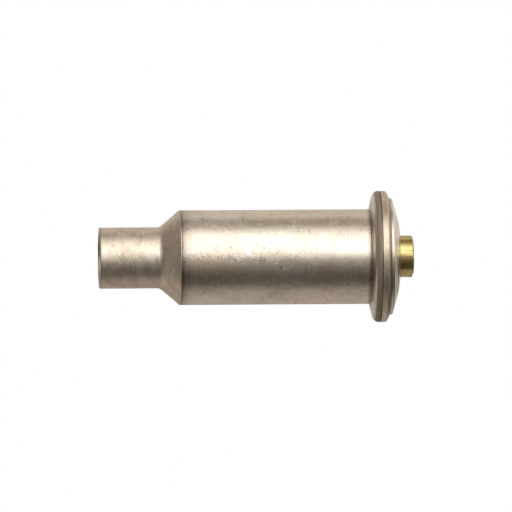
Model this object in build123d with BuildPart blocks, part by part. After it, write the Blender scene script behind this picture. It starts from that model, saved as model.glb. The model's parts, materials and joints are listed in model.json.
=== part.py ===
from build123d import *

import math
import os

# Catalytic hot-air burner nozzle: a flanged metal sleeve, closed in front by an outlet cone, that a
# collar nut holds on a gas tool.
# Gas and air enter the brass inlet tube at +X, leave the perforated distributor tube through the
# catalyst sleeve, burn there without a flame, and the hot gas leaves the outlet tube at -X.
# The axis of every turned piece is X, and +Z is up. The origin is on the axis, where the straight
# wall of the body ends at the root fillet of the flange. Millimetres throughout.

# ---- Driving dimensions: the outlet cone and the sleeve ----
outlet_diameter = 6.0
outlet_bore = 4.9
outlet_length = 5.936  # up to the sharp corner with the cone
cone_length = 1.92
cone_foot_radius = 0.7
cone_shoulder_radius = 0.1
shoulder_land = 0.02  # straight wall between the shoulder's round and the seam
lip_round = 0.1  # broken edge of the outlet
register_diameter = 8.3  # of the cone's rear end inside the sleeve, and of the sleeve's bore
register_bore = 7.3
register_length = 1.0
body_diameter = 9.3
seam_length = 18.5  # from the seam with the cone to the origin
seam_break = 0.08  # broken edge of the sleeve at the seam
flange_diameter = 12.9
flange_lean = 12.8  # lean of the flange's front face, in degrees
root_fillet = 0.1
nose_radius = 0.7  # rolled front edge of the flange
rolled_edge_end = 1.07

# ---- Driving dimensions: the rear closure ----
ring_front = 0.9  # face of the backing ring inside the rolled edge
ring_bore = 9.2
rim_start = 1.14  # front of the backing ring's visible rim
rim_corner = 1.74
rim_corner_diameter = 12.84
rim_round = 0.2
ring_rear = 2.04
cap_seat = 1.89  # floor of the counterbore in the backing ring that the cap lies in
cap_diameter = 11.44
cap_edge_end = 2.31
cap_edge_round = 0.15
cap_face_end = 2.74
recess_diameter = 8.44
recess_floor = 2.44
washer_diameter = 8.28
washer_edge_end = 2.77
washer_crown = 3.1
washer_bulge = 0.07  # rise of the dome over its straight chord

# ---- Driving dimensions: the brass inlet ----
spigot_diameter = 4.1
seat_diameter = 4.8
spigot_start = 3.04
inlet_end = 4.43
bevel_length = 0.16
bevel_depth = 0.38
inlet_bore = 3.0
filter_bore = 2.6
gas_bore = 2.2
collar_diameter = 6.4
collar_start = 0.94
collar_end = 1.44
gasket_end = 1.54  # also the inner face of the rear cap
filter_seat = 0.74
filter_end = 1.14
retainer_end = 1.74
nose_start = -1.16
gas_tube_start = -2.76

# ---- Driving dimensions: the burner inside ----
tube_bore = 3.3
tube_wall = 0.25
tube_front = -15.76
mesh_wall = 0.1
catalyst_thickness = 0.7
catalyst_front = -15.16
catalyst_rear = -3.16
cage_wall = 0.15
end_ring_thickness = 0.2
end_ring_lip = 0.6
liner_bore = 7.2
liner_wall = 0.15
screen_thickness = 0.1
screen_ring_thickness = 0.3
running_gap = 0.05
baffle_front = -0.26
baffle_thickness = 0.3

# ---- Derived values ----
outlet_radius = outlet_diameter / 2
outlet_bore_radius = outlet_bore / 2
body_radius = body_diameter / 2
body_bore_radius = register_diameter / 2
flange_radius = flange_diameter / 2
sheet = body_radius - body_bore_radius
seam = -seam_length
cone_angle = math.atan2(body_radius - outlet_radius, cone_length)
cone_rear = seam - shoulder_land - cone_shoulder_radius * math.tan(cone_angle / 2)
cone_front = cone_rear - cone_length
outlet_end = cone_front - outlet_length
outlet_wall = outlet_radius - outlet_bore_radius
cone_bore_start = cone_front + outlet_wall * math.tan(cone_angle / 2)
cone_bore_rise = register_bore / 2 - outlet_bore_radius
cone_bore_end = cone_bore_start + cone_bore_rise / math.tan(cone_angle)
register_end = seam + register_length
# The flange's front face leans back, so the corners on the sleeve and on the rim lie apart.
half_turn = math.radians(90 - flange_lean) / 2
flange_foot = root_fillet * math.tan(half_turn)
lean_slope = math.tan(math.radians(flange_lean))
flange_corner = flange_foot + (flange_radius - body_radius) * lean_slope
inner_foot = flange_foot + sheet * math.tan(half_turn)
inner_corner = inner_foot + (flange_radius - body_radius) * lean_slope
screen_rear = register_end + screen_thickness
stack_front = screen_rear + screen_ring_thickness
sleeve_radius = body_bore_radius - running_gap
tube_radius = tube_bore / 2 + tube_wall
mesh_radius = tube_radius + mesh_wall
catalyst_radius = mesh_radius + catalyst_thickness
cage_radius = catalyst_radius + cage_wall
catalyst_middle = (catalyst_front + catalyst_rear) / 2

os.makedirs("parts", exist_ok=True)


def section(start, end, inner, outer):
    """Add a rectangle between two stations on the axis and two radii to the open sketch."""
    with Locations(((start + end) / 2, (inner + outer) / 2)):
        Rectangle(end - start, outer - inner)


def save(piece, name):
    """Label a finished piece and write it as its own STEP file."""
    piece.part.label = name
    export_step(piece.part, f"parts/{name}.step")


# ---- outlet_cone: turned front piece with the outlet tube, the cone and a register behind ----
with BuildPart() as outlet_cone:
    with BuildSketch(Plane.XZ):
        with BuildLine():
            outside = FilletPolyline(
                (outlet_end, outlet_radius),
                (cone_front, outlet_radius),
                (cone_rear, body_radius),
                (seam, body_radius),
                radius=[cone_foot_radius, cone_shoulder_radius],
            )
            Polyline(
                outside @ 1,
                (seam, body_bore_radius),
                (register_end, body_bore_radius),
                (register_end, register_bore / 2),
                (cone_bore_end, register_bore / 2),
                (cone_bore_start, outlet_bore_radius),
                (outlet_end, outlet_bore_radius),
                outside @ 0,
            )
        make_face()
    revolve(axis=Axis.X)
    fillet(outlet_cone.edges().group_by(Axis.X)[0].sort_by(SortBy.RADIUS)[-1], lip_round)
save(outlet_cone, "outlet_cone")

# ---- body_sleeve: drawn sleeve with a flared flange and a rolled edge ----
with BuildPart() as body_sleeve:
    with BuildSketch(Plane.XZ):
        with BuildLine():
            outside = FilletPolyline(
                (seam, body_radius),
                (flange_foot, body_radius),
                (flange_corner, flange_radius),
                (rolled_edge_end, flange_radius),
                radius=[root_fillet, nose_radius],
            )
            inside = FilletPolyline(
                (seam, body_bore_radius),
                (inner_foot, body_bore_radius),
                (inner_corner, flange_radius - sheet),
                (rolled_edge_end, flange_radius - sheet),
                radius=[root_fillet + sheet, nose_radius - sheet],
            )
            Line(outside @ 0, inside @ 0)
            Line(outside @ 1, inside @ 1)
        make_face()
    revolve(axis=Axis.X)
    fillet(body_sleeve.edges().group_by(Axis.X)[0].sort_by(SortBy.RADIUS)[-1], seam_break)
save(body_sleeve, "body_sleeve")

# ---- flange_ring: backing ring pressed into the rolled edge, its rim shows behind the flange ----
with BuildPart() as flange_ring:
    with BuildSketch(Plane.XZ):
        with BuildLine():
            rim = FilletPolyline(
                (rim_start, flange_radius),
                (rim_corner, rim_corner_diameter / 2),
                (ring_rear, cap_diameter / 2),
                radius=rim_round,
            )
            Polyline(
                rim @ 1,
                (cap_seat, cap_diameter / 2),
                (cap_seat, ring_bore / 2),
                (ring_front, ring_bore / 2),
                (ring_front, flange_radius - sheet),
                (rim_start, flange_radius - sheet),
                rim @ 0,
            )
        make_face()
    revolve(axis=Axis.X)
    front_rim = flange_ring.edges().group_by(Axis.X)[0].sort_by(SortBy.RADIUS)[-1]
    chamfer(front_rim, nose_radius - sheet)
save(flange_ring, "flange_ring")

# ---- rear_cap: turned cap with a coned face, a recess for the washer and a register inside ----
with BuildPart() as rear_cap:
    with BuildSketch(Plane.XZ):
        with BuildLine():
            face = FilletPolyline(
                (cap_seat, cap_diameter / 2),
                (cap_edge_end, cap_diameter / 2),
                (cap_face_end, recess_diameter / 2),
                radius=cap_edge_round,
            )
            Polyline(
                face @ 1,
                (recess_floor, recess_diameter / 2),
                (recess_floor, seat_diameter / 2),
                (gasket_end, seat_diameter / 2),
                (gasket_end, collar_diameter / 2 + running_gap),
                (collar_start, collar_diameter / 2 + running_gap),
                (collar_start, ring_bore / 2),
                (cap_seat, ring_bore / 2),
                face @ 0,
            )
        make_face()
    revolve(axis=Axis.X)
save(rear_cap, "rear_cap")

# ---- dome_washer: domed push-on washer that holds the inlet tube from behind ----
with BuildPart() as dome_washer:
    with BuildSketch(Plane.XZ):
        with BuildLine():
            washer_edge = (washer_edge_end, washer_diameter / 2)
            washer_top = (washer_crown, seat_diameter / 2)
            SagittaArc(washer_edge, washer_top, washer_bulge)
            Polyline(
                washer_top,
                (recess_floor, seat_diameter / 2),
                (recess_floor, washer_diameter / 2),
                washer_edge,
            )
        make_face()
    revolve(axis=Axis.X)
save(dome_washer, "dome_washer")

# ---- inlet_tube: turned brass tube with a collar inside the cap and a spigot outside ----
with BuildPart() as inlet_tube:
    with BuildSketch(Plane.XZ):
        with BuildLine():
            Polyline(
                (gas_tube_start, gas_bore / 2),
                (gas_tube_start, tube_bore / 2),
                (nose_start, tube_bore / 2),
                (nose_start, seat_diameter / 2),
                (collar_start, seat_diameter / 2),
                (collar_start, collar_diameter / 2),
                (collar_end, collar_diameter / 2),
                (collar_end, seat_diameter / 2),
                (spigot_start, seat_diameter / 2),
                (spigot_start, spigot_diameter / 2),
                (inlet_end - bevel_length, spigot_diameter / 2),
                (inlet_end, spigot_diameter / 2 - bevel_depth),
                (inlet_end, inlet_bore / 2),
                (retainer_end, inlet_bore / 2),
                (retainer_end, filter_bore / 2),
                (filter_seat, filter_bore / 2),
                (filter_seat, gas_bore / 2),
                close=True,
            )
        make_face()
    revolve(axis=Axis.X)
save(inlet_tube, "inlet_tube")

# ---- cap_gasket: mica ring between the inlet collar and the cap ----
with BuildPart() as cap_gasket:
    with BuildSketch(Plane.XZ):
        section(collar_end, gasket_end, seat_diameter / 2, collar_diameter / 2)
    revolve(axis=Axis.X)
save(cap_gasket, "cap_gasket")

# ---- inlet_filter: sintered disc on the shoulder of the inlet bore ----
with BuildPart() as inlet_filter:
    with BuildSketch(Plane.XZ):
        section(filter_seat, filter_end, 0, filter_bore / 2)
    revolve(axis=Axis.X)
save(inlet_filter, "inlet_filter")

# ---- filter_retainer: ring pressed in behind the filter ----
retainer_wall = 0.3
with BuildPart() as filter_retainer:
    with BuildSketch(Plane.XZ):
        section(filter_end, retainer_end, filter_bore / 2 - retainer_wall, filter_bore / 2)
    revolve(axis=Axis.X)
save(filter_retainer, "filter_retainer")

# ---- rear_baffle: disc that closes the burner chamber at the rear ----
baffle_rear = baffle_front + baffle_thickness
with BuildPart() as rear_baffle:
    with BuildSketch(Plane.XZ):
        section(baffle_front, baffle_rear, seat_diameter / 2, sleeve_radius)
    revolve(axis=Axis.X)
save(rear_baffle, "rear_baffle")

# ---- wave_spring: waved ring that pushes the baffle and the sleeves forward ----
spring_thickness = 0.15
spring_inner = seat_diameter / 2 + 0.1
spring_outer = 3.4
spring_waves = 3
spring_slack = 0.02
spring_swing = (collar_start - baffle_rear - spring_thickness - spring_slack) / 2
spring_middle = (collar_start + baffle_rear) / 2
points_per_wave = 8


def wave_point(radius, index):
    """Point on the middle surface of the spring."""
    turn = 2 * math.pi * index / (spring_waves * points_per_wave)
    lift = spring_swing * math.cos(spring_waves * turn)
    return (spring_middle + lift, radius * math.cos(turn), radius * math.sin(turn))


def wave_loop(radius):
    """Closed smooth curve round the spring at one radius."""
    points = [wave_point(radius, index) for index in range(spring_waves * points_per_wave)]
    return Spline(points, periodic=True)


inner_loop = wave_loop(spring_inner).edge()
outer_loop = wave_loop(spring_outer).edge()
wave_surface = Face.make_surface_from_curves(inner_loop, outer_loop)
with BuildPart() as wave_spring:
    extrude(wave_surface, amount=spring_thickness / 2, dir=(1, 0, 0), both=True)
save(wave_spring, "wave_spring")

# ---- distributor_tube: perforated tube on the front of the inlet tube ----
port_radius = 0.22
port_rows = 8
ports_per_row = 6
port_pitch = 1.4
with BuildPart() as distributor_tube:
    with BuildSketch(Plane.XZ):
        section(tube_front, nose_start, tube_bore / 2, tube_radius)
    revolve(axis=Axis.X)
    for row in range(port_rows):
        station = catalyst_middle + (row - (port_rows - 1) / 2) * port_pitch
        half_step = 180 / ports_per_row * (row % 2)
        with Locations(Plane.YZ.offset(station)):
            with PolarLocations(tube_radius, ports_per_row, start_angle=half_step):
                Cylinder(port_radius, 4 * tube_wall, rotation=(0, 90, 0), mode=Mode.SUBTRACT)
save(distributor_tube, "distributor_tube")

# ---- distributor_plug: closes the front of the tube, its stub sits in the spider ----
plug_depth = 0.8
plug_flange = 0.3
stub_radius = 0.8
stub_length = 1.1
with BuildPart() as distributor_plug:
    with BuildSketch(Plane.XZ):
        section(tube_front, tube_front + plug_depth, 0, tube_bore / 2)
        section(tube_front - plug_flange, tube_front, 0, tube_radius)
        section(tube_front - plug_flange - stub_length, tube_front - plug_flange, 0, stub_radius)
    revolve(axis=Axis.X)
save(distributor_plug, "distributor_plug")

# ---- arrestor_sleeve: fine wire mesh round the ports, which stops the flame running back ----
with BuildPart() as arrestor_sleeve:
    with BuildSketch(Plane.XZ):
        section(catalyst_front, catalyst_rear, tube_radius, mesh_radius)
    revolve(axis=Axis.X)
save(arrestor_sleeve, "arrestor_sleeve")

# ---- catalyst_sleeve: woven ceramic fibre that carries the catalyst ----
with BuildPart() as catalyst_sleeve:
    with BuildSketch(Plane.XZ):
        section(catalyst_front, catalyst_rear, mesh_radius, catalyst_radius)
    revolve(axis=Axis.X)
save(catalyst_sleeve, "catalyst_sleeve")

# ---- catalyst_cage: slotted metal cage that keeps the fibre in place ----
slot_rows = 6
slots_per_row = 10
slot_length = 1.4
slot_width = 0.9
slot_pitch = 1.9
with BuildPart() as catalyst_cage:
    with BuildSketch(Plane.XZ):
        section(catalyst_front, catalyst_rear, catalyst_radius, cage_radius)
    revolve(axis=Axis.X)
    for row in range(slot_rows):
        station = catalyst_middle + (row - (slot_rows - 1) / 2) * slot_pitch
        with Locations(Plane.YZ.offset(station)):
            with PolarLocations(cage_radius, slots_per_row):
                Box(6 * cage_wall, slot_width, slot_length, mode=Mode.SUBTRACT)
save(catalyst_cage, "catalyst_cage")

# ---- cage_front_ring and cage_rear_ring: cups that centre both ends of the cage ----
for name, face, outward in (
    ("cage_front_ring", catalyst_front, -1),
    ("cage_rear_ring", catalyst_rear, 1),
):
    outer_face = face + outward * end_ring_thickness
    lip_end = face - outward * end_ring_lip
    with BuildPart() as end_ring:
        with BuildSketch(Plane.XZ):
            section(min(face, outer_face), max(face, outer_face), tube_radius, cage_radius + cage_wall)
            section(min(face, lip_end), max(face, lip_end), cage_radius, cage_radius + cage_wall)
        revolve(axis=Axis.X)
    save(end_ring, name)

# ---- centring_spider: three arms hold the plug's stub on the axis and let the gas past ----
spider_rear = tube_front - plug_flange - 0.1
spider_thickness = 0.6
hub_radius = 1.3
arm_width = 0.6
arm_count = 3
rim_width = 0.35
rim_radius = liner_bore / 2 - running_gap
arm_end = rim_radius - rim_width / 2
with BuildPart() as centring_spider:
    with BuildSketch(Plane.YZ.offset(spider_rear - spider_thickness)):
        Circle(rim_radius)
        Circle(rim_radius - rim_width, mode=Mode.SUBTRACT)
        Circle(hub_radius)
        with PolarLocations((stub_radius + arm_end) / 2, arm_count, start_angle=90):
            Rectangle(arm_end - stub_radius, arm_width)
        Circle(stub_radius, mode=Mode.SUBTRACT)
    extrude(amount=spider_thickness)
save(centring_spider, "centring_spider")

# ---- heat_liner: thin steel liner round the hot gas ----
with BuildPart() as heat_liner:
    with BuildSketch(Plane.XZ):
        section(stack_front, baffle_front, liner_bore / 2, liner_bore / 2 + liner_wall)
    revolve(axis=Axis.X)
save(heat_liner, "heat_liner")

# ---- insulation_sleeve: ceramic fibre between the liner and the shell ----
with BuildPart() as insulation_sleeve:
    with BuildSketch(Plane.XZ):
        section(stack_front, baffle_front, liner_bore / 2 + liner_wall, sleeve_radius)
    revolve(axis=Axis.X)
save(insulation_sleeve, "insulation_sleeve")

# ---- outlet_screen: perforated disc that the hot gas leaves through ----
hole_size = 0.42
hole_pitch = 0.62
holes_across = 11
perforated_radius = liner_bore / 2 - hole_pitch
with BuildPart() as outlet_screen:
    with BuildSketch(Plane.YZ.offset(register_end)):
        Circle(sleeve_radius)
        grid = GridLocations(hole_pitch, hole_pitch, holes_across, holes_across)
        for spot in grid.local_locations:
            if spot.position.length < perforated_radius:
                with Locations(spot.position):
                    Rectangle(hole_size, hole_size, mode=Mode.SUBTRACT)
    extrude(amount=screen_thickness)
save(outlet_screen, "outlet_screen")

# ---- screen_ring: ring that holds the screen against the cone's register ----
with BuildPart() as screen_ring:
    with BuildSketch(Plane.XZ):
        section(screen_rear, stack_front, liner_bore / 2, sleeve_radius)
    revolve(axis=Axis.X)
save(screen_ring, "screen_ring")
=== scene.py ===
import json
import math

import bmesh
import bpy
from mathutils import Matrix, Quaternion, Vector, noise


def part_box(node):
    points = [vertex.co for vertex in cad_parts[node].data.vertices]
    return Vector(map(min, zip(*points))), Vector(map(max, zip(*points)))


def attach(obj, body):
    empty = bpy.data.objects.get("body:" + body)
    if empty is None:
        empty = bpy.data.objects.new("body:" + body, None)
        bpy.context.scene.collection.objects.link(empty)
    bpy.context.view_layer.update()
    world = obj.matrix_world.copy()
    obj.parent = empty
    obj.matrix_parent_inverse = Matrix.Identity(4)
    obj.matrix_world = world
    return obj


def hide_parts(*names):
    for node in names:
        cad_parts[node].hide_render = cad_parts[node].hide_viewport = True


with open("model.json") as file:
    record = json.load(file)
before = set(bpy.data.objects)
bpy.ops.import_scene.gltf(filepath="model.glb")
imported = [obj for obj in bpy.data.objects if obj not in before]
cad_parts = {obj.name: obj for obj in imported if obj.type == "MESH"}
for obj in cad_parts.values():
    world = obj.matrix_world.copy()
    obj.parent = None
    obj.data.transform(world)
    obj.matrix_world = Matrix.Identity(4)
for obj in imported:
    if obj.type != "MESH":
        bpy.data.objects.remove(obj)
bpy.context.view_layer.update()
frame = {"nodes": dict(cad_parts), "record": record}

MM = 0.001
ROOT = "root"

# ---------------------------------------------------------------------------
# Sizes of the visible pieces, in millimetres, read from the frame where it has them
# ---------------------------------------------------------------------------


def mount_radius(name):
    """Radius in millimetres of a round mount in the record."""
    for mount in frame["record"]["mounts"]:
        if mount["name"] == name:
            return mount["dims"]["r_mm"]
    raise KeyError(name)


def span(node):
    """First and last station of a node on the axis, in millimetres."""
    low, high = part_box(node)
    return low.x / MM, high.x / MM


def reach(node):
    """Largest radius of a node, in millimetres."""
    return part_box(node)[1].z / MM


BODY_R = mount_radius("collar_guide")
OUTLET_R = mount_radius("outlet_tube")
OUTLET_BORE_R = mount_radius("outlet_bore")
SPIGOT_R = mount_radius("inlet_spigot")
INLET_BORE_R = mount_radius("inlet_bore")
FLANGE_R = reach("body_sleeve")
CAP_R = reach("rear_cap")
WASHER_R = reach("dome_washer")
OUTLET_END, REGISTER_END = span("outlet_cone")
SEAM, ROLLED_EDGE = span("body_sleeve")
RING_FRONT, RING_REAR = span("flange_ring")
CAP_FRONT, CAP_FACE_END = span("rear_cap")
WASHER_SEAT, WASHER_CROWN = span("dome_washer")
GAS_TUBE_START, INLET_END = span("inlet_tube")
SHEET = 0.5
SLEEVE_BORE_R = BODY_R - SHEET
SEAT_R = 2.4

# ---------------------------------------------------------------------------
# Turned pieces
# ---------------------------------------------------------------------------

ARC_STEP = math.radians(7)
TURN_STEPS = 360
SHARP_EDGE = math.radians(28)


def rounded(corners):
    """Outline through corners (x, r, fillet radius), each fillet as an arc."""
    points = []
    count = len(corners)
    for index, (x, r, radius) in enumerate(corners):
        here = Vector((x, r))
        if radius <= 0:
            points.append(here)
            continue
        before = (Vector(corners[index - 1][:2]) - here).normalized()
        after = (Vector(corners[(index + 1) % count][:2]) - here).normalized()
        half = before.angle(after) / 2
        centre = here + (before + after).normalized() * (radius / math.sin(half))
        start = here + before * (radius / math.tan(half)) - centre
        end = here + after * (radius / math.tan(half)) - centre
        sweep = start.angle_signed(end)
        steps = max(2, math.ceil(abs(sweep) / ARC_STEP))
        for step in range(steps + 1):
            angle = -sweep * step / steps
            turned = Vector((
                start.x * math.cos(angle) - start.y * math.sin(angle),
                start.x * math.sin(angle) + start.y * math.cos(angle),
            ))
            points.append(centre + turned)
    return points


def divided(points, step):
    """The closed outline with points added so that no side is longer than step."""
    result = []
    for index, here in enumerate(points):
        there = points[(index + 1) % len(points)]
        pieces = max(1, math.ceil((there - here).length / step))
        for piece in range(pieces):
            result.append(here.lerp(there, piece / pieces))
    return result


def turn(name, corners, step=0.3, wobble=0.0, seed=0.0):
    """Mesh object of a closed outline turned about X, its surface up to wobble lower in places."""
    outline = divided(rounded(corners), step)
    builder = bmesh.new()
    rings = []
    for point in outline:
        ring = []
        for index in range(TURN_STEPS):
            angle = 2 * math.pi * index / TURN_STEPS
            direction = Vector((0, math.cos(angle), math.sin(angle)))
            radius = point.y
            if wobble:
                sample = Vector((point.x / 3, direction.y * 2, direction.z * 2 + seed))
                radius -= wobble * (1 + noise.noise(sample)) / 2
            ring.append(builder.verts.new(Vector((point.x, 0, 0)) * MM + direction * radius * MM))
        rings.append(ring)
    for index, ring in enumerate(rings):
        after = rings[(index + 1) % len(rings)]
        for spoke in range(TURN_STEPS):
            following = (spoke + 1) % TURN_STEPS
            builder.faces.new((ring[spoke], after[spoke], after[following], ring[following]))
    bmesh.ops.recalc_face_normals(builder, faces=builder.faces)
    mesh = bpy.data.meshes.new(name)
    builder.to_mesh(mesh)
    builder.free()
    mesh.shade_smooth()
    mesh.set_sharp_from_angle(angle=SHARP_EDGE)
    piece = bpy.data.objects.new(name, mesh)
    bpy.context.scene.collection.objects.link(piece)
    return piece


def place(piece, node, material):
    """Let a finished piece stand for a CAD node."""
    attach(piece, ROOT)
    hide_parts(node)
    piece.data.materials.clear()
    piece.data.materials.append(material)


# ---------------------------------------------------------------------------
# Materials
# ---------------------------------------------------------------------------


NICKEL = (0.76, 0.7, 0.61)
DULL_NICKEL = (0.72, 0.65, 0.56)
MOTTLED_NICKEL = (0.68, 0.6, 0.5)
BRIGHT_RUB = (0.92, 0.88, 0.8)
# Brown of real dirt, also used as painted shade in corners and gaps between parts
DIRT_AND_SHADE = (0.08, 0.05, 0.03)
BARE_METAL = (0.26, 0.21, 0.16)
BRASS = (0.6, 0.5, 0.22)
TARNISHED_BRASS = (0.45, 0.33, 0.13)
BROWN_BRASS = (0.25, 0.16, 0.07)


class Graph:
    """Short calls for building one material's nodes."""

    def __init__(self, name):
        self.material = bpy.data.materials.new(name)
        self.material.use_nodes = True
        self.tree = self.material.node_tree
        self.shader = self.tree.nodes["Principled BSDF"]
        coordinates = self.tree.nodes.new("ShaderNodeTexCoord")
        self.place = coordinates.outputs["Object"]

    def link(self, value, socket):
        """Connect an output, or set a number or colour."""
        if hasattr(value, "links"):
            self.tree.links.new(value, socket)
        else:
            socket.default_value = value

    def math(self, operation, first, second=0.0, third=0.0):
        """Sum, product and the like of up to three values."""
        node = self.tree.nodes.new("ShaderNodeMath")
        node.operation = operation
        for value, socket in zip((first, second, third), node.inputs):
            self.link(value, socket)
        return node.outputs[0]

    def scaled(self, x, around):
        """Coordinates in units of x millimetres along the axis and `around` across it."""
        node = self.tree.nodes.new("ShaderNodeMapping")
        node.inputs["Scale"].default_value = (1 / (x * MM), 1 / (around * MM), 1 / (around * MM))
        self.link(self.place, node.inputs["Vector"])
        return node.outputs[0]

    def noise(self, x, around, detail, offset):
        """Noise from 0 to 1 with grains of x millimetres along the axis and `around` across it."""
        node = self.tree.nodes.new("ShaderNodeTexNoise")
        node.noise_dimensions = "4D"
        node.inputs["Scale"].default_value = 1.0
        node.inputs["Detail"].default_value = detail
        node.inputs["W"].default_value = offset
        self.link(self.scaled(x, around), node.inputs["Vector"])
        return node.outputs["Fac"]

    def spots(self, size, offset):
        """Distance to the nearest of many scattered points, in units of size millimetres."""
        node = self.tree.nodes.new("ShaderNodeTexVoronoi")
        node.voronoi_dimensions = "4D"
        node.inputs["Scale"].default_value = 1.0
        node.inputs["W"].default_value = offset
        self.link(self.scaled(size, size), node.inputs["Vector"])
        return node.outputs["Distance"]

    def ramp(self, value, low, high, start=0.0, end=1.0):
        """Smooth change from start to end as value goes from low to high."""
        node = self.tree.nodes.new("ShaderNodeMapRange")
        node.interpolation_type = "SMOOTHSTEP"
        for name, number in (("From Min", low), ("From Max", high), ("To Min", start), ("To Max", end)):
            node.inputs[name].default_value = number
        self.link(value, node.inputs["Value"])
        return node.outputs["Result"]

    def mix(self, factor, first, second):
        """First colour where factor is 0, second where it is 1."""
        node = self.tree.nodes.new("ShaderNodeMix")
        node.data_type = "RGBA"
        self.link(factor, node.inputs["Factor"])
        for value, socket in ((first, node.inputs[6]), (second, node.inputs[7])):
            self.link((*value, 1.0) if isinstance(value, tuple) else value, socket)
        return node.outputs[2]

    def axis_station(self):
        """Distance along the axis in millimetres."""
        node = self.tree.nodes.new("ShaderNodeSeparateXYZ")
        self.link(self.place, node.inputs[0])
        return self.math("MULTIPLY", node.outputs["X"], 1 / MM)

    def bump(self, height):
        """Relief of the surface from a height in millimetres."""
        node = self.tree.nodes.new("ShaderNodeBump")
        node.inputs["Distance"].default_value = MM
        self.link(height, node.inputs["Height"])
        self.link(node.outputs[0], self.shader.inputs["Normal"])


def tinted(colour, factors):
    """The colour with each channel multiplied by its factor."""
    return tuple(channel * factor for channel, factor in zip(colour, factors))


def plate_marks(graph, seed):
    """Ticks, bright rubs, curls and pits from 0 to 1, all of them within the same clusters."""
    cluster = graph.ramp(graph.noise(2.6, 1.3, 2.0, seed + 4), 0.45, 0.56)
    tick = graph.ramp(graph.noise(0.26, 0.8, 1.0, seed + 3), 0.57, 0.66)
    rub = graph.ramp(graph.noise(0.26, 0.7, 1.0, seed + 8), 0.6, 0.68)
    middle = graph.math("SUBTRACT", graph.noise(0.5, 1.3, 1.0, seed + 11), 0.5)
    curl = graph.ramp(graph.math("ABSOLUTE", middle), 0.01, 0.04, 1.0, 0.0)
    pit = graph.ramp(graph.spots(0.8, seed + 5), 0.08, 0.18, 1.0, 0.0)
    return [graph.math("MULTIPLY", mark, cluster) for mark in (tick, rub, curl, pit)]


def plate_colour(graph, colour, wear, blotches, seed, marks):
    """Nickel colour with pinkish and brownish clouds, dull blotches and dark marks."""
    tick, rub, curl, pit = marks
    pink = graph.ramp(graph.noise(5.0, 3.0, 1.0, seed + 2), 0.4, 0.65)
    stain = graph.ramp(graph.noise(3.0, 2.5, 3.0, seed + 1), 0.42, 0.7)
    blotch = graph.ramp(graph.noise(0.9, 1.1, 3.0, seed + 10), 0.44, 0.62)
    scratch = graph.math("MAXIMUM", tick, graph.math("MULTIPLY", curl, 0.5))
    scratch = graph.math("MULTIPLY", scratch, 0.3 * wear)
    dark = graph.math("MAXIMUM", scratch, graph.math("MULTIPLY", pit, 0.7 * wear))
    base = graph.mix(pink, colour, tinted(colour, (1.0, 0.93, 0.9)))
    base = graph.mix(stain, base, tinted(colour, (0.86, 0.82, 0.76)))
    base = graph.mix(graph.math("MULTIPLY", blotch, blotches), base, tinted(colour, (0.7, 0.64, 0.55)))
    base = graph.mix(graph.math("MULTIPLY", rub, 0.6 * wear), base, BRIGHT_RUB)
    return graph.mix(dark, base, tinted(colour, (0.3, 0.25, 0.2)))


def plate_relief(graph, wear, seed, marks, grain):
    """Height of the plate in millimetres: waves, grain, raised rubs, sunk ticks, curls and pits."""
    tick, rub, curl, pit = marks
    wave = graph.math("MULTIPLY", graph.noise(1.6, 1.0, 2.0, seed + 7), 0.02 * wear)
    height = graph.math("MULTIPLY_ADD", grain, 0.005 * wear, wave)
    height = graph.math("MULTIPLY_ADD", rub, 0.006 * wear, height)
    height = graph.math("MULTIPLY_ADD", graph.math("MAXIMUM", tick, curl), -0.006 * wear, height)
    return graph.math("MULTIPLY_ADD", pit, -0.01 * wear, height)


def worn_nickel(name, colour, roughness, wear, blotches, seed, dirt_and_shade=(), bare=None):
    """Satin nickel plate with pits, ticks, curls, stains and dull blotches.

    Each ring entry is a (station, reach, depth) ring of brown darkening that fades out over its reach
    on both sides: real dirt at a seam, painted shade where it lies in a corner or gap between parts.
    The plate is gone beyond the station called bare."""
    graph = Graph(name)
    marks = plate_marks(graph, seed)
    base = plate_colour(graph, colour, wear, blotches, seed, marks)
    grain = graph.noise(0.35, 0.5, 3.0, seed + 6)
    rough = graph.math("MULTIPLY_ADD", graph.math("SUBTRACT", grain, 0.5), 0.05 + 0.15 * wear, roughness)
    station = graph.axis_station()
    patchy = graph.math("MULTIPLY_ADD", graph.noise(0.4, 0.8, 3.0, seed + 9), 0.8, 0.6)
    # Rings of brown darkening: real dirt at seams, painted shade in corners and gaps between parts
    for dark_station, fade, depth in dirt_and_shade:
        away = graph.math("ABSOLUTE", graph.math("SUBTRACT", station, dark_station))
        darkening = graph.math("MULTIPLY", graph.ramp(away, 0.0, fade, depth, 0.0), patchy)
        base = graph.mix(darkening, base, DIRT_AND_SHADE)
    if bare is None:
        graph.shader.inputs["Metallic"].default_value = 1.0
    else:
        worn = graph.ramp(station, bare - 0.1, bare + 0.1)
        base = graph.mix(worn, base, BARE_METAL)
        rough = graph.math("MULTIPLY_ADD", worn, 0.25, rough)
        graph.link(graph.math("MULTIPLY_ADD", worn, -0.6, 1.0), graph.shader.inputs["Metallic"])
    graph.link(base, graph.shader.inputs["Base Color"])
    graph.link(rough, graph.shader.inputs["Roughness"])
    graph.bump(plate_relief(graph, wear, seed, marks, grain))
    return graph.material


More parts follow.
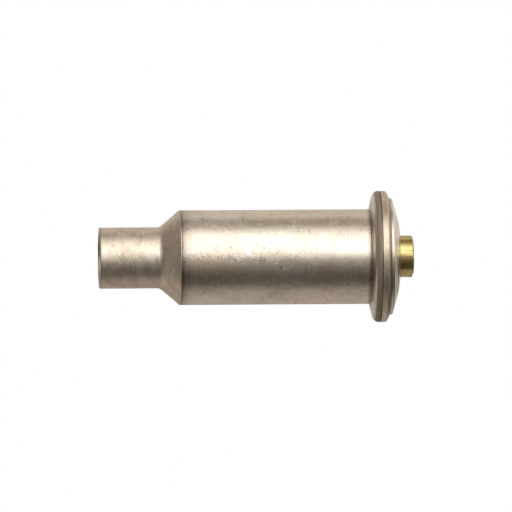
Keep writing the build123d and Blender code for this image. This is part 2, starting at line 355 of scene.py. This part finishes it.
def turned_brass(name):
    """Turned brass with tool lines round the axis, brown draw lines along it and small pits."""
    graph = Graph(name)
    tarnish = graph.ramp(graph.noise(0.8, 0.7, 3.0, 11.0), 0.4, 0.7)
    draw = graph.ramp(graph.noise(6.0, 0.25, 2.0, 15.0), 0.54, 0.6)
    base = graph.mix(tarnish, BRASS, TARNISHED_BRASS)
    base = graph.mix(graph.math("MULTIPLY", draw, 0.4), base, BROWN_BRASS)
    graph.link(base, graph.shader.inputs["Base Color"])
    pit = graph.ramp(graph.noise(0.2, 0.2, 2.0, 13.0), 0.6, 0.7)
    height = graph.math("MULTIPLY", graph.noise(0.05, 6.0, 3.0, 12.0), 0.001)
    height = graph.math("MULTIPLY_ADD", pit, -0.001, height)
    height = graph.math("MULTIPLY_ADD", graph.noise(4.0, 0.5, 1.0, 16.0), 0.015, height)
    graph.bump(height)
    rough = graph.math("MULTIPLY_ADD", graph.noise(0.3, 0.3, 2.0, 14.0), 0.08, 0.09)
    graph.link(rough, graph.shader.inputs["Roughness"])
    graph.shader.inputs["Metallic"].default_value = 1.0
    return graph.material


def plain_metal(name, colour, roughness, seed):
    """Inner sheet metal with rolling lines and heat stains."""
    graph = Graph(name)
    stain = graph.ramp(graph.noise(2.0, 2.0, 3.0, seed), 0.4, 0.65)
    base = graph.mix(stain, colour, tinted(colour, (0.75, 0.6, 0.45)))
    graph.link(base, graph.shader.inputs["Base Color"])
    graph.bump(graph.math("MULTIPLY", graph.noise(0.8, 0.08, 3.0, seed + 1), 0.002))
    rough = graph.math("MULTIPLY_ADD", graph.noise(0.5, 0.5, 2.0, seed + 2), 0.2, roughness)
    graph.link(rough, graph.shader.inputs["Roughness"])
    graph.shader.inputs["Metallic"].default_value = 1.0
    return graph.material


def fibre(name, colour, dark, weave, seed):
    """Dull fibre: felt where weave is small, coarse yarn where it is large."""
    graph = Graph(name)
    yarn = graph.noise(weave, weave, 3.0, seed)
    base = graph.mix(graph.ramp(yarn, 0.35, 0.65), dark, colour)
    graph.link(base, graph.shader.inputs["Base Color"])
    graph.bump(graph.math("MULTIPLY", yarn, 0.05))
    graph.shader.inputs["Roughness"].default_value = 0.9
    return graph.material


# ---------------------------------------------------------------------------
# Visible pieces: each outline runs along the outside and back along the bore
# ---------------------------------------------------------------------------

SHOULDER_LAND = 0.057
CONE_LENGTH = 1.92
CONE_REAR = SEAM - SHOULDER_LAND
CONE_FRONT = CONE_REAR - CONE_LENGTH
BORE_CONE_REAR = CONE_FRONT + 1.6
BORE_CONE_FRONT = CONE_FRONT + 0.21
REGISTER_BORE_R = 3.65


def make_outlet_cone():
    """Outlet tube, cone and the register inside the sleeve's front end."""
    # Brown ring that darkens the tube towards its mouth
    material = worn_nickel(
        "nickel_outlet", DULL_NICKEL, roughness=0.42, wear=0.9, blotches=0.5, seed=20.0,
        dirt_and_shade=((OUTLET_END, 0.3, 0.3),),
    )
    piece = turn("outlet_cone_turned", [
        (OUTLET_END, OUTLET_R, 0.1),
        (CONE_FRONT, OUTLET_R, 0.7),
        (CONE_REAR, BODY_R, 0.1),
        (SEAM, BODY_R, 0.0),
        (SEAM, SLEEVE_BORE_R, 0.0),
        (REGISTER_END, SLEEVE_BORE_R, 0.03),
        (REGISTER_END, REGISTER_BORE_R, 0.03),
        (BORE_CONE_REAR, REGISTER_BORE_R, 0.1),
        (BORE_CONE_FRONT, OUTLET_BORE_R, 0.4),
        (OUTLET_END, OUTLET_BORE_R, 0.06),
    ], wobble=0.006, seed=1.0)
    place(piece, "outlet_cone", material)


FLANGE_FOOT = 0.08
FLANGE_LEAN = math.radians(12.8)
FLANGE_CORNER = FLANGE_FOOT + (FLANGE_R - BODY_R) * math.tan(FLANGE_LEAN)
ROLLED_WIDTH = 0.52


def make_body_sleeve():
    """Straight sleeve with its flared flange and the rolled edge."""
    # Brown rings: real dirt along the seam, and painted shade in the corner at the flange foot
    material = worn_nickel(
        "nickel_body", NICKEL, roughness=0.3, wear=1.0, blotches=0.15, seed=0.0,
        dirt_and_shade=((SEAM, 0.4, 0.5), (SEAM, 1.4, 0.4), (FLANGE_FOOT, 0.38, 0.6)),
        bare=ROLLED_EDGE - ROLLED_WIDTH,
    )
    piece = turn("body_sleeve_drawn", [
        (SEAM, BODY_R, 0.08),
        (FLANGE_FOOT, BODY_R, 0.03),
        (FLANGE_CORNER, FLANGE_R, 0.7),
        (ROLLED_EDGE, FLANGE_R, 0.04),
        (ROLLED_EDGE, FLANGE_R - SHEET, 0.0),
        (FLANGE_CORNER + 0.4, FLANGE_R - SHEET, 0.2),
        (FLANGE_FOOT + 0.4, SLEEVE_BORE_R, 0.5),
        (SEAM, SLEEVE_BORE_R, 0.0),
    ], wobble=0.006, seed=2.0)
    place(piece, "body_sleeve", material)


RIM_START = ROLLED_EDGE + 0.08
RIM_END = RING_REAR - 0.3
CAP_SEAT = RING_REAR - 0.15
CAP_GAP = 0.03
RING_BORE_R = 4.6


def make_flange_ring():
    """Backing ring behind the rolled edge, with its sloping rear corner."""
    material = worn_nickel(
        # The brown ring at the rear edge is dirt and painted shade in the corner against the cap
        "nickel_ring", MOTTLED_NICKEL, roughness=0.38, wear=1.0, blotches=0.3, seed=40.0,
        dirt_and_shade=((RING_REAR - 0.08, 0.22, 0.7),),
    )
    piece = turn("flange_ring_turned", [
        (RIM_START, FLANGE_R, 0.04),
        (RIM_END, FLANGE_R - 0.03, 0.2),
        (RING_REAR, CAP_R + CAP_GAP, 0.02),
        (CAP_SEAT, CAP_R + CAP_GAP, 0.0),
        (CAP_SEAT, RING_BORE_R, 0.0),
        (RING_FRONT, RING_BORE_R, 0.0),
        (RING_FRONT, FLANGE_R - SHEET, 0.2),
        (RIM_START, FLANGE_R - SHEET, 0.0),
    ], step=0.15, wobble=0.01, seed=3.0)
    place(piece, "flange_ring", material)


CAP_EDGE_END = CAP_FACE_END - 0.43
RECESS_R = WASHER_R + 0.08
COLLAR_R = 3.2
COLLAR_POCKET_R = COLLAR_R + 0.05
COLLAR_POCKET_END = CAP_FRONT + 0.6


def make_rear_cap():
    """Stepped cap with a coned face, a recess for the washer and a pocket for the inlet's collar."""
    material = worn_nickel(
        # Brown rings: dirt and painted shade in the corner against the ring, painted shade in the gap
        # round the washer's recess
        "nickel_cap", NICKEL, roughness=0.26, wear=0.04, blotches=0.1, seed=60.0,
        dirt_and_shade=((RING_REAR - 0.1, 0.25, 0.75), (CAP_FACE_END, 0.06, 0.5)),
    )
    piece = turn("rear_cap_turned", [
        (CAP_SEAT, CAP_R, 0.0),
        (CAP_EDGE_END, CAP_R, 0.15),
        (CAP_FACE_END, RECESS_R, 0.04),
        (WASHER_SEAT, RECESS_R, 0.0),
        (WASHER_SEAT, SEAT_R, 0.0),
        (COLLAR_POCKET_END, SEAT_R, 0.0),
        (COLLAR_POCKET_END, COLLAR_POCKET_R, 0.0),
        (CAP_FRONT, COLLAR_POCKET_R, 0.0),
        (CAP_FRONT, RING_BORE_R, 0.0),
        (CAP_SEAT, RING_BORE_R, 0.0),
    ], step=0.15, wobble=0.006, seed=4.0)
    place(piece, "rear_cap", material)


WASHER_EDGE_END = WASHER_SEAT + 0.33
DOME_SHOULDER = (WASHER_CROWN - 0.14, 3.4, 1.2)


def make_dome_washer():
    """Small pressed dome round the inlet."""
    material = worn_nickel(
        # The brown ring near the seat is painted shade where the washer sits in the cap's recess
        "nickel_washer", NICKEL, roughness=0.24, wear=0.04, blotches=0.1, seed=80.0,
        dirt_and_shade=((WASHER_SEAT + 0.2, 0.2, 0.4),),
    )
    piece = turn("dome_washer_pressed", [
        (WASHER_SEAT, WASHER_R, 0.0),
        (WASHER_EDGE_END, WASHER_R, 0.06),
        DOME_SHOULDER,
        (WASHER_CROWN, SEAT_R, 0.0),
        (WASHER_SEAT, SEAT_R, 0.0),
    ], step=0.15)
    place(piece, "dome_washer", material)


GAS_TUBE_R = 1.65
GAS_BORE_R = 1.1
FILTER_BORE_R = 1.3
NOSE_START = CAP_FRONT - 2.1
COLLAR_END = CAP_FRONT + 0.5
SPIGOT_START = WASHER_CROWN - 0.06
BEVEL_LENGTH = 0.16
BEVEL_DEPTH = 0.38
FILTER_SEAT = CAP_FRONT - 0.2
INLET_BORE_START = FILTER_SEAT + 1.0


def make_inlet_tube(material):
    """Gas tube, nose, collar and spigot in one, bored right through."""
    piece = turn("inlet_tube_turned", [
        (GAS_TUBE_START, GAS_TUBE_R, 0.05),
        (NOSE_START, GAS_TUBE_R, 0.0),
        (NOSE_START, SEAT_R, 0.05),
        (CAP_FRONT, SEAT_R, 0.0),
        (CAP_FRONT, COLLAR_R, 0.05),
        (COLLAR_END, COLLAR_R, 0.05),
        (COLLAR_END, SEAT_R, 0.0),
        (SPIGOT_START, SEAT_R, 0.03),
        (SPIGOT_START, SPIGOT_R, 0.0),
        (INLET_END - BEVEL_LENGTH, SPIGOT_R, 0.04),
        (INLET_END, SPIGOT_R - BEVEL_DEPTH, 0.05),
        (INLET_END, INLET_BORE_R, 0.05),
        (INLET_BORE_START, INLET_BORE_R, 0.0),
        (INLET_BORE_START, FILTER_BORE_R, 0.0),
        (FILTER_SEAT, FILTER_BORE_R, 0.0),
        (FILTER_SEAT, GAS_BORE_R, 0.0),
        (GAS_TUBE_START, GAS_BORE_R, 0.03),
    ], step=0.2)
    place(piece, "inlet_tube", material)


brass = turned_brass("turned_brass")
make_outlet_cone()
make_body_sleeve()
make_flange_ring()
make_rear_cap()
make_dome_washer()
make_inlet_tube(brass)

# ---------------------------------------------------------------------------
# Inner pieces: the CAD solids with their own materials
# ---------------------------------------------------------------------------

steel = plain_metal("heat_tinted_steel", (0.5, 0.48, 0.46), roughness=0.35, seed=100.0)
wire = plain_metal("wire", (0.38, 0.36, 0.35), roughness=0.4, seed=110.0)
bronze = plain_metal("sintered_bronze", (0.55, 0.4, 0.22), roughness=0.6, seed=120.0)
mica = fibre("pressed_mica", (0.66, 0.58, 0.44), (0.45, 0.38, 0.27), weave=0.25, seed=130.0)
catalyst = fibre("coated_fibre", (0.24, 0.23, 0.22), (0.08, 0.08, 0.08), weave=0.3, seed=140.0)
felt = fibre("ceramic_felt", (0.84, 0.82, 0.78), (0.65, 0.62, 0.57), weave=0.12, seed=150.0)

NODE_MATERIALS = {
    "cap_gasket": mica,
    "inlet_filter": bronze,
    "filter_retainer": brass,
    "rear_baffle": steel,
    "wave_spring": steel,
    "distributor_tube": steel,
    "distributor_plug": steel,
    "arrestor_sleeve": wire,
    "catalyst_sleeve": catalyst,
    "catalyst_cage": steel,
    "cage_front_ring": steel,
    "cage_rear_ring": steel,
    "centring_spider": steel,
    "heat_liner": steel,
    "insulation_sleeve": felt,
    "outlet_screen": wire,
    "screen_ring": steel,
}
for node, material in NODE_MATERIALS.items():
    for slot in frame["nodes"][node].material_slots:
        slot.material = material

# ---------------------------------------------------------------------------
# Stage: floor, surroundings and camera
# ---------------------------------------------------------------------------

FLOOR_DEPTH = 30 * MM
FLOOR_RADIUS = 250 * MM
FLOOR_CENTRE_X = -11 * MM


def make_floor():
    """Plain pale disc well below the nozzle."""
    builder = bmesh.new()
    bmesh.ops.create_circle(builder, cap_ends=True, segments=96, radius=FLOOR_RADIUS)
    mesh = bpy.data.meshes.new("floor")
    builder.to_mesh(mesh)
    builder.free()
    floor = bpy.data.objects.new("floor", mesh)
    floor.location = (FLOOR_CENTRE_X, 0, -FLOOR_DEPTH)
    bpy.context.scene.collection.objects.link(floor)
    material = bpy.data.materials.new("pale_floor")
    material.use_nodes = True
    shader = material.node_tree.nodes["Principled BSDF"]
    shader.inputs["Base Color"].default_value = (0.9, 0.9, 0.9, 1.0)
    shader.inputs["Roughness"].default_value = 0.8
    shader.inputs["Specular IOR Level"].default_value = 0.0
    shader.inputs["Emission Color"].default_value = (1.0, 1.0, 1.0, 1.0)
    shader.inputs["Emission Strength"].default_value = 0.5
    mesh.materials.append(material)
    floor.visible_glossy = False
    floor.visible_diffuse = False
    floor.visible_shadow = False


# Brightness of the studio in three rings round the nozzle's axis, by angle in degrees: 0 is the
# front, 90 overhead, 180 the backdrop and -90 the table. Levels from LAMP_LEVEL up have the lamps'
# tint, and the outlet's and inlet's rings take over where a direction leans that way along the axis.
MIDDLE_RING = (
    (-180, 0.8),
    (-168, 0.42),
    (-135, 0.5),
    (-100, 0.45),
    (-82, 0.32),
    (-68, 0.1),
    (-40, 0.1),
    (-18, 0.27),
    (-2, 0.52),
    (7, 1.3),
    (14, 2.0),
    (50, 2.0),
    (64, 1.2),
    (76, 0.65),
    (88, 0.33),
    (102, 0.35),
    (114, 0.85),
    (140, 0.65),
    (170, 0.75),
    (180, 0.8),
)
OUTLET_RING = (
    (-180, 0.5),
    (-140, 0.5),
    (-115, 0.6),
    (-93, 0.33),
    (-62, 0.18),
    (0, 0.22),
    (62, 0.22),
    (115, 0.22),
    (140, 0.3),
    (180, 0.5),
)
INLET_RING = (
    (-180, 1.05),
    (-179.2, 0.9),
    (-177.8, 0.22),
    (-165, 0.12),
    (-60, 0.1),
    (-5, 0.2),
    (10, 1.5),
    (60, 1.6),
    (85, 0.7),
    (130, 0.9),
    (176, 0.75),
    (179, 0.95),
    (180, 1.05),
)
OUTLET_LEAN = (0.45, 0.75)
INLET_LEAN = (0.25, 0.5)
LAMP_LEVEL = 1.0
LAMP_TINT = (1.0, 1.0, 0.97)
ROOM_TINT = (1.0, 0.91, 0.83)


def make_studio():
    """White backdrop for the camera, soft graded surroundings for the metal."""
    world = bpy.data.worlds.new("studio")
    bpy.context.scene.world = world
    world.use_nodes = True
    tree = world.node_tree
    tree.nodes.clear()
    brightest = max(level for _, level in (*MIDDLE_RING, *OUTLET_RING, *INLET_RING))

    def add(kind, **settings):
        node = tree.nodes.new(kind)
        for key, value in settings.items():
            setattr(node, key, value)
        return node

    def calculate(operation, first, second=0.0, third=0.0):
        node = add("ShaderNodeMath", operation=operation)
        for value, socket in zip((first, second, third), node.inputs):
            if hasattr(value, "links"):
                tree.links.new(value, socket)
            else:
                socket.default_value = value
        return node.outputs[0]

    def graded(turn_share, ring):
        """Brightness read from a ring by the share of a turn from its first stop."""
        node = add("ShaderNodeValToRGB")
        stops = node.color_ramp.elements
        while len(stops) < len(ring):
            stops.new(0.5)
        for stop, (degrees, level) in zip(stops, ring):
            stop.position = (degrees + 180) / 360
            tint = LAMP_TINT if level >= LAMP_LEVEL else ROOM_TINT
            stop.color = (*(level / brightest * part for part in tint), 1.0)
        tree.links.new(turn_share, node.inputs["Fac"])
        return node.outputs["Color"]

    def towards(value, near, far):
        """Smooth change from 0 to 1 as value goes from near to far."""
        node = add("ShaderNodeMapRange", interpolation_type="SMOOTHSTEP")
        node.inputs["From Min"].default_value = near
        node.inputs["From Max"].default_value = far
        tree.links.new(value, node.inputs["Value"])
        return node.outputs["Result"]

    def blended(factor, first, second):
        node = add("ShaderNodeMix", data_type="RGBA")
        tree.links.new(factor, node.inputs["Factor"])
        tree.links.new(first, node.inputs[6])
        tree.links.new(second, node.inputs[7])
        return node.outputs[2]

    direction = add("ShaderNodeTexCoord").outputs["Generated"]
    parts = add("ShaderNodeSeparateXYZ")
    tree.links.new(direction, parts.inputs[0])
    x, y, z = parts.outputs
    angle = calculate("ARCTAN2", z, calculate("MULTIPLY", y, -1.0))
    turn_share = calculate("MULTIPLY_ADD", angle, 0.5 / math.pi, 0.5)
    colour = graded(turn_share, MIDDLE_RING)
    outlet_share = towards(calculate("MULTIPLY", x, -1.0), *OUTLET_LEAN)
    colour = blended(outlet_share, colour, graded(turn_share, OUTLET_RING))
    colour = blended(towards(x, *INLET_LEAN), colour, graded(turn_share, INLET_RING))
    surroundings = add("ShaderNodeBackground")
    surroundings.inputs["Strength"].default_value = brightest
    tree.links.new(colour, surroundings.inputs["Color"])
    backdrop = add("ShaderNodeBackground")
    backdrop.inputs["Color"].default_value = (1.0, 1.0, 1.0, 1.0)
    chosen = add("ShaderNodeMixShader")
    tree.links.new(add("ShaderNodeLightPath").outputs["Is Camera Ray"], chosen.inputs["Fac"])
    tree.links.new(surroundings.outputs[0], chosen.inputs[1])
    tree.links.new(backdrop.outputs[0], chosen.inputs[2])
    output = add("ShaderNodeOutputWorld")
    tree.links.new(chosen.outputs[0], output.inputs["Surface"])


VIEW_AZIMUTH = math.radians(-3.0)
VIEW_ROLL = math.radians(-0.35)
VIEW_DISTANCE = 2.0
VIEW_WIDTH = 50.2 * MM
VIEW_TARGET = Vector((-11.01, 0.0, 0.12)) * MM
SENSOR_WIDTH = 36


def make_camera():
    """Long lens at the height of the axis, turned slightly towards the outlet."""
    data = bpy.data.cameras.new("camera")
    data.sensor_width = SENSOR_WIDTH
    data.lens = SENSOR_WIDTH * VIEW_DISTANCE / VIEW_WIDTH
    data.clip_start = 0.1
    data.clip_end = 10
    camera = bpy.data.objects.new("camera", data)
    back = Vector((math.sin(VIEW_AZIMUTH), -math.cos(VIEW_AZIMUTH), 0))
    camera.location = VIEW_TARGET + back * VIEW_DISTANCE
    level = (-back).to_track_quat("-Z", "Y")
    camera.rotation_mode = "QUATERNION"
    camera.rotation_quaternion = Quaternion(back, VIEW_ROLL) @ level
    bpy.context.scene.collection.objects.link(camera)
    bpy.context.scene.camera = camera


make_floor()
make_studio()
make_camera()
bpy.context.scene.view_settings.view_transform = "Standard"
